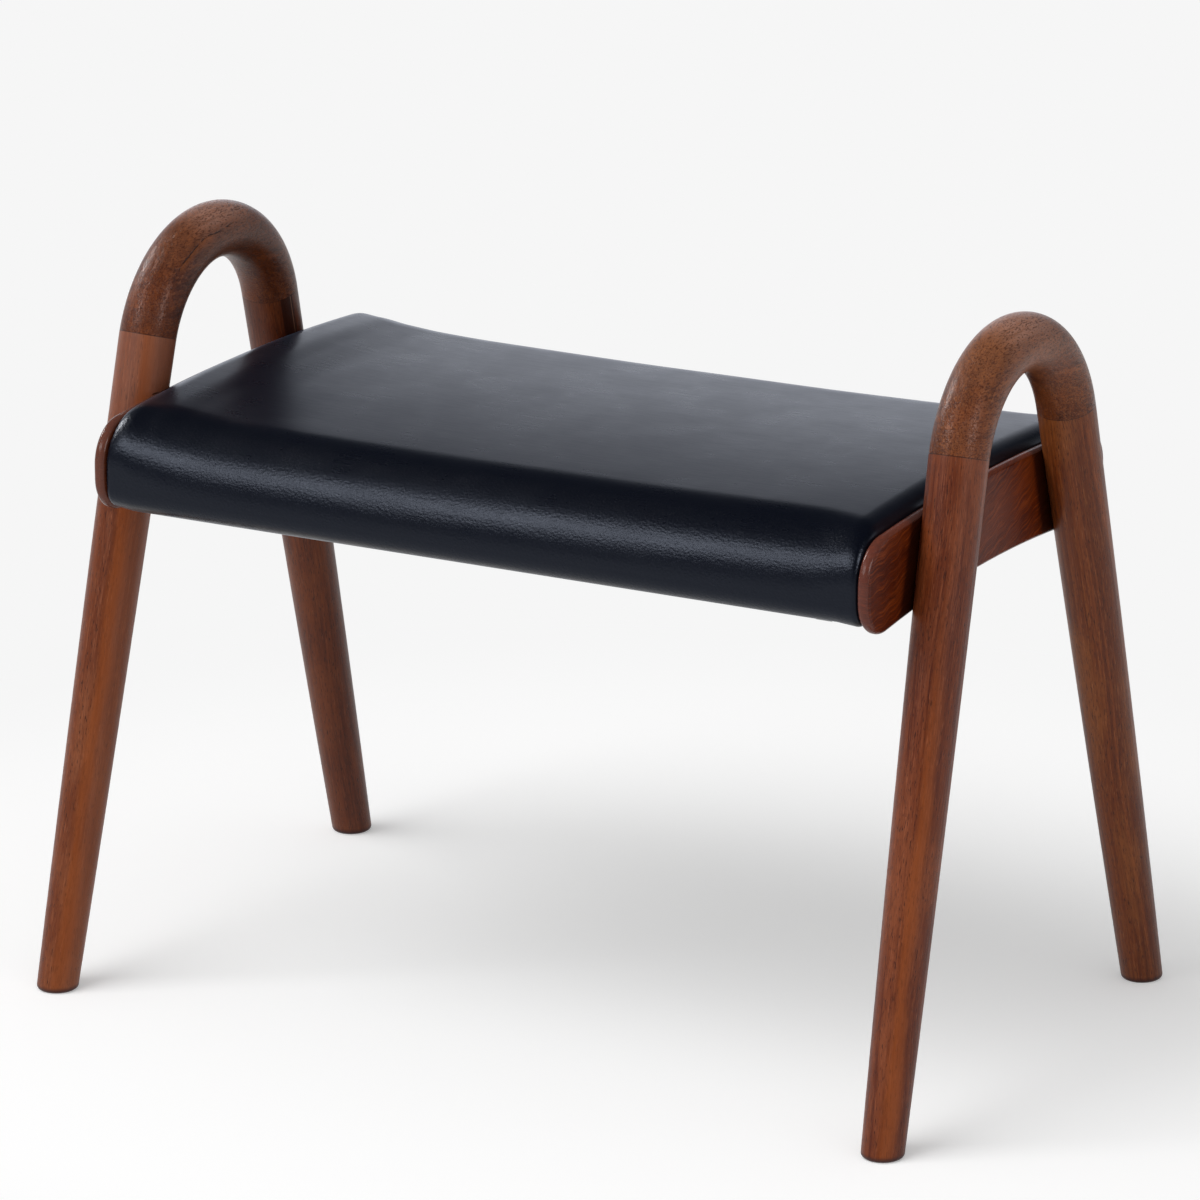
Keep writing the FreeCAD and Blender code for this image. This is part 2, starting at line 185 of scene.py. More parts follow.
# Camera: the photograph's view
CAMERA_YAW = math.radians(29.86)
CAMERA_LIFT = math.radians(17.16)
CAMERA_ROLL = math.radians(-0.17)
CAMERA_TARGET = (1.11, -1.20, 241.2)
CAMERA_DISTANCE = 4235.0
FOCAL_PIXELS = 7153.75
PHOTO_PIXELS = 1200
SENSOR = 36.0
CLIP = (0.1, 100.0)


def make_camera():
    back = direction(CAMERA_YAW, CAMERA_LIFT)
    across = Vector((math.cos(CAMERA_YAW), math.sin(CAMERA_YAW), 0))
    upward = back.cross(across)
    right = across * math.cos(CAMERA_ROLL) + upward * math.sin(CAMERA_ROLL)
    top = upward * math.cos(CAMERA_ROLL) - across * math.sin(CAMERA_ROLL)
    data = bpy.data.cameras.new("camera")
    data.sensor_width = SENSOR
    data.lens = FOCAL_PIXELS / PHOTO_PIXELS * SENSOR
    data.clip_start, data.clip_end = CLIP
    camera = added_object("camera", data)
    place = Vector(CAMERA_TARGET) * MM + back * CAMERA_DISTANCE * MM
    turn = Matrix((right, top, back)).transposed().to_4x4()
    camera.matrix_world = Matrix.Translation(place) @ turn
    bpy.context.scene.camera = camera


# Node helpers
class Shade:
    """One material or world, built from nodes."""

    def __init__(self, name, world=False):
        self.block = (bpy.data.worlds if world else bpy.data.materials).new(name)
        self.block.use_nodes = True
        self.tree = self.block.node_tree
        self.tree.nodes.clear()

    def fill(self, node, inputs):
        """Links or sets a node's inputs."""
        for key, value in inputs.items():
            if isinstance(value, bpy.types.NodeSocket):
                self.tree.links.new(value, node.inputs[key])
            else:
                node.inputs[key].default_value = value

    def put(self, kind, inputs=None, out=0, **settings):
        """Adds a node and gives one of its outputs."""
        node = self.tree.nodes.new("ShaderNode" + kind)
        for key, value in settings.items():
            setattr(node, key, value)
        self.fill(node, inputs or {})
        return node.outputs[out]

    def math(self, operation, a, b=0.0):
        return self.put("Math", {0: a, 1: b}, operation=operation)

    def plus(self, a, b):
        return self.math("ADD", a, b)

    def minus(self, a, b):
        return self.math("SUBTRACT", a, b)

    def times(self, a, b):
        return self.math("MULTIPLY", a, b)

    def away(self, a, b):
        """How far one value lies from another."""
        return self.math("ABSOLUTE", self.minus(a, b))

    def hypot(self, a, b):
        return self.math("SQRT", self.plus(self.times(a, a), self.times(b, b)))

    def scaled(self, vector, x, y, z):
        return self.put("VectorMath", {0: vector, 1: (x, y, z)}, operation="MULTIPLY")

    def moved(self, vector, x, y, z):
        return self.put("VectorMath", {0: vector, 1: (x, y, z)}, operation="ADD")

    def added(self, a, b):
        return self.put("VectorMath", {0: a, 1: b}, operation="ADD")

    def apart(self, vector):
        node = self.tree.nodes.new("ShaderNodeSeparateXYZ")
        self.tree.links.new(vector, node.inputs[0])
        return node.outputs

    def joined(self, x, y, z):
        return self.put("CombineXYZ", {0: x, 1: y, 2: z})

    def object_place(self):
        """Object coordinates, in metres."""
        return self.put("TexCoord", out=3)

    def place(self):
        """Object coordinates, in millimetres."""
        return self.scaled(self.object_place(), *PER_METRE)

    def normal(self):
        """The surface's direction in the world, as its parts along X, Y and Z."""
        return self.apart(self.put("NewGeometry", out=1))

    def noise(self, vector, scale=1.0, detail=2.0, rough=0.5, distortion=0.0, out=0):
        return self.put("TexNoise", {"Vector": vector, "Scale": scale, "Detail": detail,
                                     "Roughness": rough, "Distortion": distortion}, out)

    def span(self, value, low, high, to_low=0.0, to_high=1.0):
        """Takes a value from one range to another, smoothly."""
        return self.put("MapRange", {0: value, 1: low, 2: high, 3: to_low, 4: to_high},
                        interpolation_type="SMOOTHSTEP")

    def mix(self, share, a, b):
        node = self.tree.nodes.new("ShaderNodeMix")
        node.data_type = "RGBA"
        self.fill(node, {0: share, 6: a, 7: b})
        return node.outputs[2]

    def tinted(self, colour, tone, value, start, full, share=1.0):
        """Mixes a tone in, from where a value starts it to where it is full."""
        return self.mix(self.span(value, start, full, 0.0, share), colour, tone)

    def curve(self, value, stops):
        """A smooth curve through places from 0 to 1 and their values."""
        node = self.tree.nodes.new("ShaderNodeValToRGB")
        node.color_ramp.interpolation = "CARDINAL"
        elements = node.color_ramp.elements
        while len(elements) < len(stops):
            elements.new(0.5)
        for element, (place, level) in zip(elements, stops):
            element.position = place
            element.color = (level, level, level, 1)
        self.tree.links.new(value, node.inputs[0])
        return self.times(node.outputs[0], 1.0)

    def bump(self, height, strength, distance):
        return self.put("Bump", {"Strength": strength, "Distance": distance * MM, "Height": height})

    def surface(self, inputs):
        """Ends a material in one shader."""
        return self.shown(self.put("BsdfPrincipled", inputs))

    def shown(self, shader):
        kind = "OutputWorld" if isinstance(self.block, bpy.types.World) else "OutputMaterial"
        node = self.tree.nodes.new("ShaderNode" + kind)
        self.tree.links.new(shader, node.inputs[0])
        return self.block


# Places on the end frames
def placed(shade, turn, origin):
    """Object coordinates in millimetres, turned and moved to a piece's own axes."""
    return shade.put("Mapping", {
        "Vector": shade.object_place(), "Location": -(turn @ origin),
        "Rotation": turn.to_euler("XYZ"), "Scale": PER_METRE}, vector_type="POINT")


def frame_turn(side):
    """Turns the stool's axes to an end frame's own, side being 1 on the right."""
    return Matrix.Rotation(side * LEAN, 3, "Y")


def frame_point(side, y, z):
    """A point in the middle plane of an end frame."""
    return frame_turn(side).inverted() @ Vector((0, y, z)) + Vector((side * FRAME_SPREAD, 0, 0))


def leg_axes(shade, side, end):
    """A leg's own axes: Z runs down its length from the seam; side and end are 1 or -1."""
    turn = Matrix.Rotation(-end * SPLAY, 3, "X") @ frame_turn(side)
    return shade.scaled(placed(shade, turn, frame_point(side, end * SEAM_Y, SEAM_Z)), 1, 1, -1)


def hoop_axes(shade, side):
    """Axes of an end frame with their origin at the centre of its hoop, and the angle there."""
    place = placed(shade, frame_turn(side), frame_point(side, 0, ARCH_CENTRE))
    _, y, z = shade.apart(place)
    return place, shade.math("ARCTAN2", z, y)


def side_name(side):
    return "right" if side > 0 else "left"


# Layers of the wood: stretch across and along the grain, scale, detail, roughness and, for
# the veins, distortion
STREAKS = (1.3, 0.05, 0.8, 4.0, 0.65)
FIBRE = (3.2, 0.16, 1.0, 3.0, 0.6)
BLOTCH = (1.0, 0.3, 0.03, 3.0, 0.55)
VESSEL = (2.4, 0.22, 1.0, 1.5, 0.55)
FLECK = (2.2, 0.10, 1.0, 1.5, 0.5)
SPECK = (1.0, 0.3, 1.1, 2.0, 0.65)
VEINS = (1.0, 0.08, 0.33, 4.0, 0.65, 0.6)
CLOUD = (1.0, 0.2, 0.08, 3.0, 0.5)

# How a layer tints the wood: where its tone starts, where it is full and, if less than 1,
# its share
RING_TONE = (0.38, 0.62)
BLOTCH_LIGHT = (0.46, 0.62, 0.55)
STREAK_LIGHT = (0.5, 0.68, 0.5)
STREAK_DARK = (0.48, 0.32, 0.5)
FIBRE_DARK = (0.5, 0.66, 0.4)
FLECK_PALE = (0.62, 0.72, 0.35)
PORE = (0.58, 0.68, 0.85)
PALE_FACTOR, PALE_LIFT = 1.5, 0.03
PORE_FACTOR = 0.25
FIBRE_HEIGHT = 0.35

SEED_STEPS = (37.1, 11.3, 53.7)
FLECK_SHIFT = (17.0, 5.0, 3.0)
BEND_STRETCH = (0.012, 0.012, 0.0035)
BEND_REACH = 16
NOISE_MIDDLE = 0.5
RING_STRETCH = 0.003
RING_DETAIL, RING_ROUGH = 3.0, 0.6
PITH = (70, 30)
RING_SCALE = 0.55
WOOD_IOR = 1.5
WOOD_BUMP = 0.5
WOOD_DEPTH = 0.12
WOOD_SHINE = 0.22
LAYER_RANGE = (0.3, 0.7)


def layer(shade, place, setting):
    """One layer of noise, stretched along the grain."""
    across, along, *rest = setting
    return shade.noise(shade.scaled(place, across, across, along), *rest)


def grain(shade, place, tones, seed, figure=1.0, pores=1.0, pith=PITH, ring=RING_SCALE):
    """Colour, height, streaks and blotch of wood with its grain along Z of a place in mm."""
    place = shade.moved(place, *(seed * step for step in SEED_STEPS))
    bend = shade.put("VectorMath", {
        0: shade.noise(shade.scaled(place, *BEND_STRETCH), out=1), 1: (NOISE_MIDDLE,) * 3},
        operation="SUBTRACT")
    warped = shade.added(place, shade.scaled(bend, BEND_REACH * figure, BEND_REACH * figure, 0))
    x, y, z = shade.apart(shade.moved(warped, *pith, 0))
    rings = shade.noise(shade.joined(shade.hypot(x, y), 0.0, shade.times(z, RING_STRETCH)),
                        ring, RING_DETAIL, RING_ROUGH)
    streaks = layer(shade, warped, STREAKS)
    fibre = layer(shade, warped, FIBRE)
    blotch = layer(shade, place, BLOTCH)
    vessel = layer(shade, warped, VESSEL)
    fleck = layer(shade, shade.moved(warped, *FLECK_SHIFT), FLECK)
    dark, mid, light = tones
    colour = shade.mix(shade.span(rings, *RING_TONE), dark, mid)
    colour = shade.tinted(colour, light, blotch, *BLOTCH_LIGHT)
    colour = shade.tinted(colour, light, streaks, *STREAK_LIGHT)
    colour = shade.tinted(colour, dark, streaks, *STREAK_DARK)
    colour = shade.tinted(colour, dark, fibre, *FIBRE_DARK)
    colour = shade.tinted(colour, shaded(light, PALE_FACTOR, PALE_LIFT), fleck, *FLECK_PALE)
    start, full, share = PORE
    pore = shade.span(vessel, start, full, 0.0, share * pores)
    colour = shade.mix(pore, colour, shaded(dark, PORE_FACTOR))
    height = shade.minus(shade.times(fibre, FIBRE_HEIGHT), pore)
    return colour, height, streaks, blotch


def varnish(shade, colour, height, rough, shine=WOOD_SHINE, depth=WOOD_DEPTH):
    """The finish of oiled wood over a grain."""
    return shade.surface({
        "Base Color": colour, "Roughness": rough, "IOR": WOOD_IOR, "Specular IOR Level": shine,
        "Normal": shade.bump(height, WOOD_BUMP, depth)})


# Seams, as angles round the hoop
SEAM_WIDTH = (0.0055, 0.0015, 0.7)
SEAM_TONE = linear(24, 8, 6)


def seam_line(shade, colour, angle, end):
    """A thin dark line where a leg meets the hoop; end is -1 at the front and 1 at the back."""
    seam = SPLAY if end > 0 else math.pi - SPLAY - FRONT_SEAM
    return shade.tinted(colour, SEAM_TONE, shade.away(angle, seam), *SEAM_WIDTH)


# The front legs' amber band, and the painted sheen on one side and painted highlight at the top of the
# left one, on a leg's axes
BAND_WIDE = (0.87, 0.5)
BAND_TONE = linear(146, 70, 14)
BAND_EDGE = (6.5, 1.5)
BAND_WANDER = (0.3, 0.7, 0.5, 3.5)
BAND_DRIFT = 0.004
BAND_STRENGTH = (0.35, 0.6, 0.35, 0.6)
BAND_RIGHT = (60.0, 200.0, 0.3, 1.0)
PAINTED_LEG_SHEEN = (0.0, 6.0, 0.4)
PAINTED_LEG_SHEEN_TONE = linear(144, 80, 48)
PAINTED_LEG_HIGHLIGHT = (90.0, 20.0, 0.2)
PAINTED_LEG_HIGHLIGHT_TONE = linear(176, 124, 104)


def leg_band(shade, colour, place, side):
    """A soft amber band down a front leg; the left leg has a painted sheen beside it and a painted
    highlight above the seat.
    """
    x, y, z = shade.apart(place)
    across = shade.plus(shade.times(x, BAND_WIDE[0]), shade.times(y, BAND_WIDE[1]))
    if side < 0:
        # Painted sheen on one side of the left leg, and a painted highlight towards its top.
        colour = shade.tinted(colour, PAINTED_LEG_SHEEN_TONE, across, *PAINTED_LEG_SHEEN)
        colour = shade.tinted(colour, PAINTED_LEG_HIGHLIGHT_TONE, z, *PAINTED_LEG_HIGHLIGHT)
    cloud = layer(shade, place, CLOUD)
    middle = shade.minus(shade.span(cloud, *BAND_WANDER), shade.times(z, BAND_DRIFT))
    share = shade.times(shade.span(shade.away(across, middle), *BAND_EDGE),
                        shade.span(cloud, *BAND_STRENGTH))
    if side > 0:
        share = shade.times(share, shade.span(z, *BAND_RIGHT))
    return shade.mix(share, colour, BAND_TONE)


# The let-in slip of a leg: angles round the leg, and lengths down from the seam
SLIP_START = (0.93, 0.96)
SLIP_STOP = (1.50, 1.46)
SLIP_LENGTH = (30.0, 26.0, 0.0, 0.8)
SLIP_TONE = linear(44, 15, 7)
GLUE_PLACE = 1.38
GLUE_WIDTH = (0.022, 0.006)
GLUE_LENGTH = (28.0, 22.0, 0.0, 0.5)
GLUE_TONE = linear(190, 140, 110)


def leg_slip(shade, colour, place):
    """A darker let-in slip with a pale glue line, just below the seam."""
    x, y, z = shade.apart(place)
    around = shade.math("ARCTAN2", x, shade.times(y, -1))
    inside = shade.times(shade.span(around, *SLIP_START), shade.span(around, *SLIP_STOP))
    colour = shade.mix(shade.times(inside, shade.span(z, *SLIP_LENGTH)), colour, SLIP_TONE)
    line = shade.times(shade.span(shade.away(around, GLUE_PLACE), *GLUE_WIDTH),
                       shade.span(z, *GLUE_LENGTH))
    return shade.mix(line, colour, GLUE_TONE)


# Foot ring, in metres from the floor, and the legs' finish
FOOT_RING = (4.5 * MM, 1.5 * MM, 0.85)
FOOT_TONE = linear(46, 12, 10)
LEG_ROUGH = (0.34, 0.44)
LEG_SHINE = 0.25


def leg_material(side, end, tones, seed):
    shade = Shade("leg_teak_%s%s" % (side_name(side), "_back" if end > 0 else "_front"))
    place = leg_axes(shade, side, end)
    colour, height, streaks, _ = grain(shade, place, tones, seed)
    if end < 0:
        colour = leg_band(shade, colour, place, side)
    if side < 0 < end:
        colour = leg_slip(shade, colour, place)
    colour = shade.tinted(colour, FOOT_TONE, shade.apart(shade.object_place())[2], *FOOT_RING)
    colour = seam_line(shade, colour, hoop_axes(shade, side)[1], end)
    return varnish(shade, colour, height, shade.span(streaks, *LAYER_RANGE, *LEG_ROUGH), LEG_SHINE)


# The check in the left handle: where it runs round the hoop, its path round the wood's
# section as a share of a sweep, and its line and worn edge as angles from that path
CHECK_START = math.radians(85)
CHECK_SWEEP = math.radians(48)
CHECK_ROUND = math.radians(100)
CHECK_PATH = ((0.0, 0.64), (0.21, 0.69), (0.38, 0.675), (0.48, 0.61), (0.62, 0.588),
              (0.80, 0.57), (0.94, 0.53), (1.0, 0.54))
CHECK_WAVER = (0.35, 3.0)
CHECK_WAVER_REACH = 0.05
CHECK_RISE = (0.02, 0.2)
CHECK_FALL = (1.02, 0.96)
CHECK_BREAK_NOISE = (0.22, 2.0)
CHECK_BREAKS = (0.40, 0.52)
CHECK_WIDTH = (0.034, 0.010)
CHECK_SHARE = 0.85
CHECK_DEPTH = 2.0
CHECK_TONE = linear(26, 10, 6)
WORN_NEAR = (0.0, 0.03)
WORN_FAR = (0.26, 0.12)
WORN_RISE = (0.36, 0.5, 0.0, 0.3)
WORN_TONE = linear(150, 80, 30)


def arch_check(shade, colour, height, place, angle, rho):
    """A fine check along the grain of the left handle, with a worn edge beside it."""
    x = shade.apart(place)[0]
    around = shade.math("ARCTAN2", x, shade.minus(rho, ARCH_RADIUS))
    share = shade.math("DIVIDE", shade.minus(angle, CHECK_START), CHECK_SWEEP)
    waver = shade.minus(shade.noise(place, *CHECK_WAVER), NOISE_MIDDLE)
    middle = shade.plus(shade.times(shade.curve(share, CHECK_PATH), CHECK_ROUND),
                        shade.times(waver, CHECK_WAVER_REACH))
    off = shade.minus(around, middle)
    reach = shade.times(shade.span(share, *CHECK_RISE), shade.span(share, *CHECK_FALL))
    broken = shade.span(shade.noise(place, *CHECK_BREAK_NOISE), *CHECK_BREAKS)
    line = shade.times(shade.span(shade.math("ABSOLUTE", off), *CHECK_WIDTH),
                       shade.times(reach, broken))
    worn = shade.times(shade.span(off, *WORN_NEAR), shade.span(off, *WORN_FAR))
    worn = shade.times(worn, shade.times(reach, shade.span(share, *WORN_RISE)))
    colour = shade.mix(worn, colour, WORN_TONE)
    colour = shade.mix(shade.times(line, CHECK_SHARE), colour, CHECK_TONE)
    return colour, shade.minus(height, shade.times(line, CHECK_DEPTH))


# The handles: settings of the grain from front to back and of the one round the hoop, and of the
# painted light on their tops and the painted sheen on their crowns
PLANK_GRAIN = (1.6, 0.9, (40, 22), 0.7)
HOOP_GRAIN = (1.0, 0.8, (30, 20), 0.8)
HOOP_SEED = 3
HOOP_SHARE = 0.3
VEIN_DARK = (0.47, 0.36, 0.6)
VEIN_LIGHT = (0.53, 0.64, 0.5)
AMBER_NOISE = (0.035, 3.0, 0.5)
AMBER = (0.48, 0.62, 0.4)
AMBER_TONE = linear(124, 60, 20)
PAINTED_LIGHT_HEIGHT = (48.0, 84.0)
PAINTED_LIGHT_SHARES = {1: 0.3, -1: 0.2}
PAINTED_LIGHT_TONE = linear(170, 118, 88)
PAINTED_SHEEN_FACING = (0.2, 0.75)
PAINTED_SHEEN_PLACE = -2.0
PAINTED_SHEEN_REACH = (36.0, 8.0, 0.0, 0.62)
PAINTED_SHEEN_VEINS = (0.36, 0.56, 0.6, 1.0)
PAINTED_SHEEN_TONE = linear(182, 140, 124)
PITS = (0.52, 0.62)
PIT_SHARE = 0.7
PIT_DEPTH = 0.8
SPECK_LIGHT = (0.46, 0.36, 0.35)
ARCH_ROUGH = (0.27, 0.34)
ARCH_SHINE = 0.20
ARCH_DEPTH = 0.2


def arch_material(side, tones, seed):
    """Sawn from a plank: the grain runs from front to back through the hoop."""
    shade = Shade("arch_teak_" + side_name(side))
    dark, _, light = tones
    place, angle = hoop_axes(shade, side)
    x, y, z = shade.apart(place)
    rho = shade.hypot(y, z)
    hoop = shade.joined(shade.minus(rho, ARCH_RADIUS), x, shade.times(angle, ARCH_RADIUS))
    plank = shade.joined(x, z, y)
    colour, height, _, blotch = grain(shade, plank, tones, seed, *PLANK_GRAIN)
    bend_colour, bend_height, _, _ = grain(shade, hoop, tones, seed + HOOP_SEED, *HOOP_GRAIN)
    veins = layer(shade, plank, VEINS)
    colour = shade.mix(HOOP_SHARE, colour, bend_colour)
    colour = shade.tinted(colour, dark, veins, *VEIN_DARK)
    colour = shade.tinted(colour, light, veins, *VEIN_LIGHT)
    colour = shade.tinted(colour, AMBER_TONE, shade.noise(place, *AMBER_NOISE), *AMBER)
    # Painted light: each handle grows lighter towards its top.
    colour = shade.tinted(colour, PAINTED_LIGHT_TONE, z, *PAINTED_LIGHT_HEIGHT, PAINTED_LIGHT_SHARES[side])
    # Painted sheen: a pale highlight where the crown of the hoop faces up.
    crown = shade.times(shade.span(shade.normal()[2], *PAINTED_SHEEN_FACING),
                        shade.span(shade.away(y, PAINTED_SHEEN_PLACE), *PAINTED_SHEEN_REACH))
    colour = shade.mix(shade.times(crown, shade.span(veins, *PAINTED_SHEEN_VEINS)), colour, PAINTED_SHEEN_TONE)
    speck = layer(shade, plank, SPECK)
    pits = shade.span(speck, *PITS)
    colour = shade.mix(shade.times(pits, PIT_SHARE), colour, dark)
    colour = shade.tinted(colour, light, speck, *SPECK_LIGHT)
    height = shade.minus(shade.plus(height, bend_height), shade.times(pits, PIT_DEPTH))
    if side < 0:
        colour, height = arch_check(shade, colour, height, place, angle, rho)
    for end in (-1, 1):
        colour = seam_line(shade, colour, angle, end)
    rough = shade.span(blotch, *LAYER_RANGE, *ARCH_ROUGH)
    return varnish(shade, colour, height, rough, ARCH_SHINE, ARCH_DEPTH)


# The rails' painted shade beside the legs, as lengths ahead of a leg's axis
PAINTED_SHADE_FRONT = (25.0, 18.5)
PAINTED_SHADE_BACK = (-6.0, 0.0, 0.0, 0.85)
PAINTED_SHADE_TONE = linear(20, 4, 1)


def rail_painted_shade(shade, colour, y, z):
    """Painted shade on a rail, on the side of each leg that faces the front, where it meets the leg.
    """
    for end in (-1, 1):
        axis = shade.times(shade.minus(SEAM_Z, z), end * math.tan(SPLAY))
        ahead = shade.minus(shade.plus(axis, end * SEAM_Y), y)
        painted_shade = shade.times(shade.span(ahead, *PAINTED_SHADE_FRONT), shade.span(ahead, *PAINTED_SHADE_BACK))
        # Painted shade: the rail darkens just in front of each leg.
        colour = shade.mix(painted_shade, colour, PAINTED_SHADE_TONE)
    return colour


# The rails' figure: it curves up behind the front end and then climbs in a straight line
FIGURE_TURN = (-RAIL_HALF, -100.0)
FIGURE_RISE = 10.5
FIGURE_SLOPE = 0.40
RIPPLE_PITCH = 0.42
RIPPLE_HEIGHT = 0.6
RAIL_STRETCH = 0.35
RAIL_GRAIN = (1.2, 0.9, (90, 400), 0.6)
FIGURE_STRETCH = (0.2, 1.0, 0.05)
FIGURE_NOISE = (0.7, 2.0, 0.6)
FIGURE_LIGHT = (0.53, 0.60, 0.0, 0.7)
FIGURE_DARK = (0.45, 0.36, 0.0, 0.5)
FIGURE_FACE = (0.8, 0.98)
RAIL_EVEN = 0.4
RIM_WEAR_AND_SHEEN = (0.97, 0.75, 0.22)
RIM_WEAR_AND_SHEEN_TONE = linear(140, 100, 92)
RAIL_ROUGH = (0.99, 0.90, 0.36, 0.17)
RAIL_SHINE = 0.14


def rail_material(side, tones, seed):
    """A board with a wavy figure that climbs towards its middle."""
    shade = Shade("rail_teak_" + side_name(side))
    dark, mid, light = tones
    x, y, z = shade.apart(shade.place())
    turn_start, turn_end = FIGURE_TURN
    turn = shade.put("MapRange", {0: y, 1: turn_start, 2: turn_end, 3: 0.0, 4: 1.0})
    beyond = shade.math("MAXIMUM", shade.minus(y, turn_end), 0.0)
    climb = shade.plus(shade.times(shade.times(turn, turn), FIGURE_RISE),
                       shade.times(beyond, FIGURE_SLOPE))
    ripple = shade.times(shade.math("SINE", shade.times(y, RIPPLE_PITCH)), RIPPLE_HEIGHT)
    across = shade.plus(shade.minus(z, climb), ripple)
    place = shade.joined(shade.times(x, RAIL_STRETCH), across, y)
    colour, height, _, _ = grain(shade, place, tones, seed, *RAIL_GRAIN)
    figure = shade.noise(shade.scaled(shade.joined(x, across, y), *FIGURE_STRETCH), *FIGURE_NOISE)
    colour = shade.mix(RAIL_EVEN, colour, mid)
    face = shade.math("ABSOLUTE", shade.normal()[0])
    flat = shade.span(face, *FIGURE_FACE)
    colour = shade.mix(shade.times(shade.span(figure, *FIGURE_LIGHT), flat), colour, light)
    colour = shade.mix(shade.times(shade.span(figure, *FIGURE_DARK), flat), colour, dark)
    # Painted shade on the rail beside each leg.
    colour = rail_painted_shade(shade, colour, y, z)
    # Pale rounded edges: partly wear, partly a painted highlight.
    colour = shade.tinted(colour, RIM_WEAR_AND_SHEEN_TONE, face, *RIM_WEAR_AND_SHEEN)
    return varnish(shade, colour, height, shade.span(face, *RAIL_ROUGH), RAIL_SHINE)


# Beech, plywood and steel inside the seat
PLAIN_GRAIN = (0.6, 0.4)
PLAIN_ROUGH = 0.62
PLY_PITCH = 1.5
PLY_DARK = (0.2, 0.6, 0.35)
GRIT_NOISE = (1.5, 4.0, 0.6)
GRIT_FACTOR = 0.6
GRIT_BUMP = (0.3, 0.05)
GRIT_ROUGH = 0.15


def plain_wood(name, tones, axis, seed, ply=False):
    """Beech or plywood; axis is the grain's direction, 0 for X and 1 for Y."""
    shade = Shade(name)
    x, y, z = shade.apart(shade.place())
    place = shade.joined(y, z, x) if axis == 0 else shade.joined(x, z, y)
    colour, height, _, _ = grain(shade, place, tones, seed, *PLAIN_GRAIN)
    if ply:
        veneer = shade.math("SINE", shade.times(z, 2 * math.pi / PLY_PITCH))
        colour = shade.tinted(colour, tones[0], veneer, *PLY_DARK)
    return varnish(shade, colour, height, PLAIN_ROUGH)


def steel(name, tone, rough):
    shade = Shade(name)
    grit = shade.noise(shade.place(), *GRIT_NOISE)
    colour = shade.mix(shade.span(grit, *LAYER_RANGE), tone, shaded(tone, GRIT_FACTOR))
    return shade.surface({
        "Base Color": colour, "Metallic": 1.0, "Normal": shade.bump(grit, *GRIT_BUMP),
        "Roughness": shade.span(grit, *LAYER_RANGE, rough, rough + GRIT_ROUGH)})


# Leather: stretches, noises as scale, detail and roughness, tones and finish
PEBBLE_STRETCH = (0.75, 1.0, 1.0)
PEBBLE_SCALE, PEBBLE_SMOOTH = 0.7, 0.5
WRINKLE_STRETCH = (0.10, 1.0, 1.0)
FINE_NOISE = (1.6, 3.0, 0.6)
WRINKLE_NOISE = (0.5, 3.0, 0.6)
WEAR_AND_REFLECTION_NOISE = (0.035, 4.0, 0.6)
PATCH_NOISE = (0.02, 3.0, 0.5)
LEATHER_DARK = linear(5, 8, 17)
LEATHER_LIGHT = linear(9, 12, 23)
PATCH = (0.45, 0.7, 0.2)
PATCH_TONE = linear(14, 16, 24)
PAINTED_REFLECTION_REACH = (COVER_BOTTOM + 6, COVER_BOTTOM + 0.5, 0.0, 0.9)
PAINTED_REFLECTION_BREAKS = (0.3, 0.6)
PAINTED_REFLECTION_TONE = linear(72, 68, 64)
FRONT_PEBBLE = (-0.25, -0.55, 0.12, 1.15)
PEBBLE_HEIGHT, FINE_HEIGHT, WRINKLE_HEIGHT = 0.45, 0.40, 0.22
LEATHER_BUMP = (0.5, 0.36)
LEATHER_ROUGH = (0.35, 0.65, 0.27, 0.30)
WRINKLE_ROUGH = (0.4, 0.6, 0.0, 0.02)
LEATHER_IOR = 1.5
LEATHER_SHINE = 0.26
SHINE_TINT = (0.74, 0.82, 1.0, 1.0)
SHEEN, SHEEN_ROUGH = 0.12, 0.30
SHEEN_TINT = (0.40, 0.60, 1.0, 1.0)


def leather_material():
    """Black leather with a fine pebble, strongest in front, faint wrinkles along the seat and a
    painted reflection of the floor along its lower edges.
    """
    shade = Shade("black_leather")
    place = shade.place()
    pebble = shade.put("TexVoronoi", {
        "Vector": shade.scaled(place, *PEBBLE_STRETCH), "Scale": PEBBLE_SCALE,
        "Smoothness": PEBBLE_SMOOTH}, feature="SMOOTH_F1")
    fine = shade.noise(place, *FINE_NOISE)
    wrinkle = shade.noise(shade.scaled(place, *WRINKLE_STRETCH), *WRINKLE_NOISE)
    worn = shade.noise(place, *WEAR_AND_REFLECTION_NOISE)
    colour = shade.mix(shade.span(fine, *LAYER_RANGE), LEATHER_DARK, LEATHER_LIGHT)
    colour = shade.tinted(colour, PATCH_TONE, shade.noise(place, *PATCH_NOISE), *PATCH)
    # Painted reflection of the floor along the lower edges, broken up by the worn noise.
    edge = shade.times(shade.span(shade.apart(place)[2], *PAINTED_REFLECTION_REACH), shade.span(worn, *PAINTED_REFLECTION_BREAKS))
    colour = shade.mix(edge, colour, PAINTED_REFLECTION_TONE)
    height = shade.plus(shade.times(pebble, PEBBLE_HEIGHT), shade.times(fine, FINE_HEIGHT))
    height = shade.plus(shade.times(height, shade.span(shade.normal()[1], *FRONT_PEBBLE)),
                        shade.times(wrinkle, WRINKLE_HEIGHT))
    rough = shade.plus(shade.span(worn, *LEATHER_ROUGH), shade.span(wrinkle, *WRINKLE_ROUGH))
    return shade.surface({
        "Base Color": colour, "Roughness": rough, "Normal": shade.bump(height, *LEATHER_BUMP),
        "IOR": LEATHER_IOR, "Specular IOR Level": LEATHER_SHINE, "Specular Tint": SHINE_TINT,
        "Sheen Weight": SHEEN, "Sheen Roughness": SHEEN_ROUGH, "Sheen Tint": SHEEN_TINT})


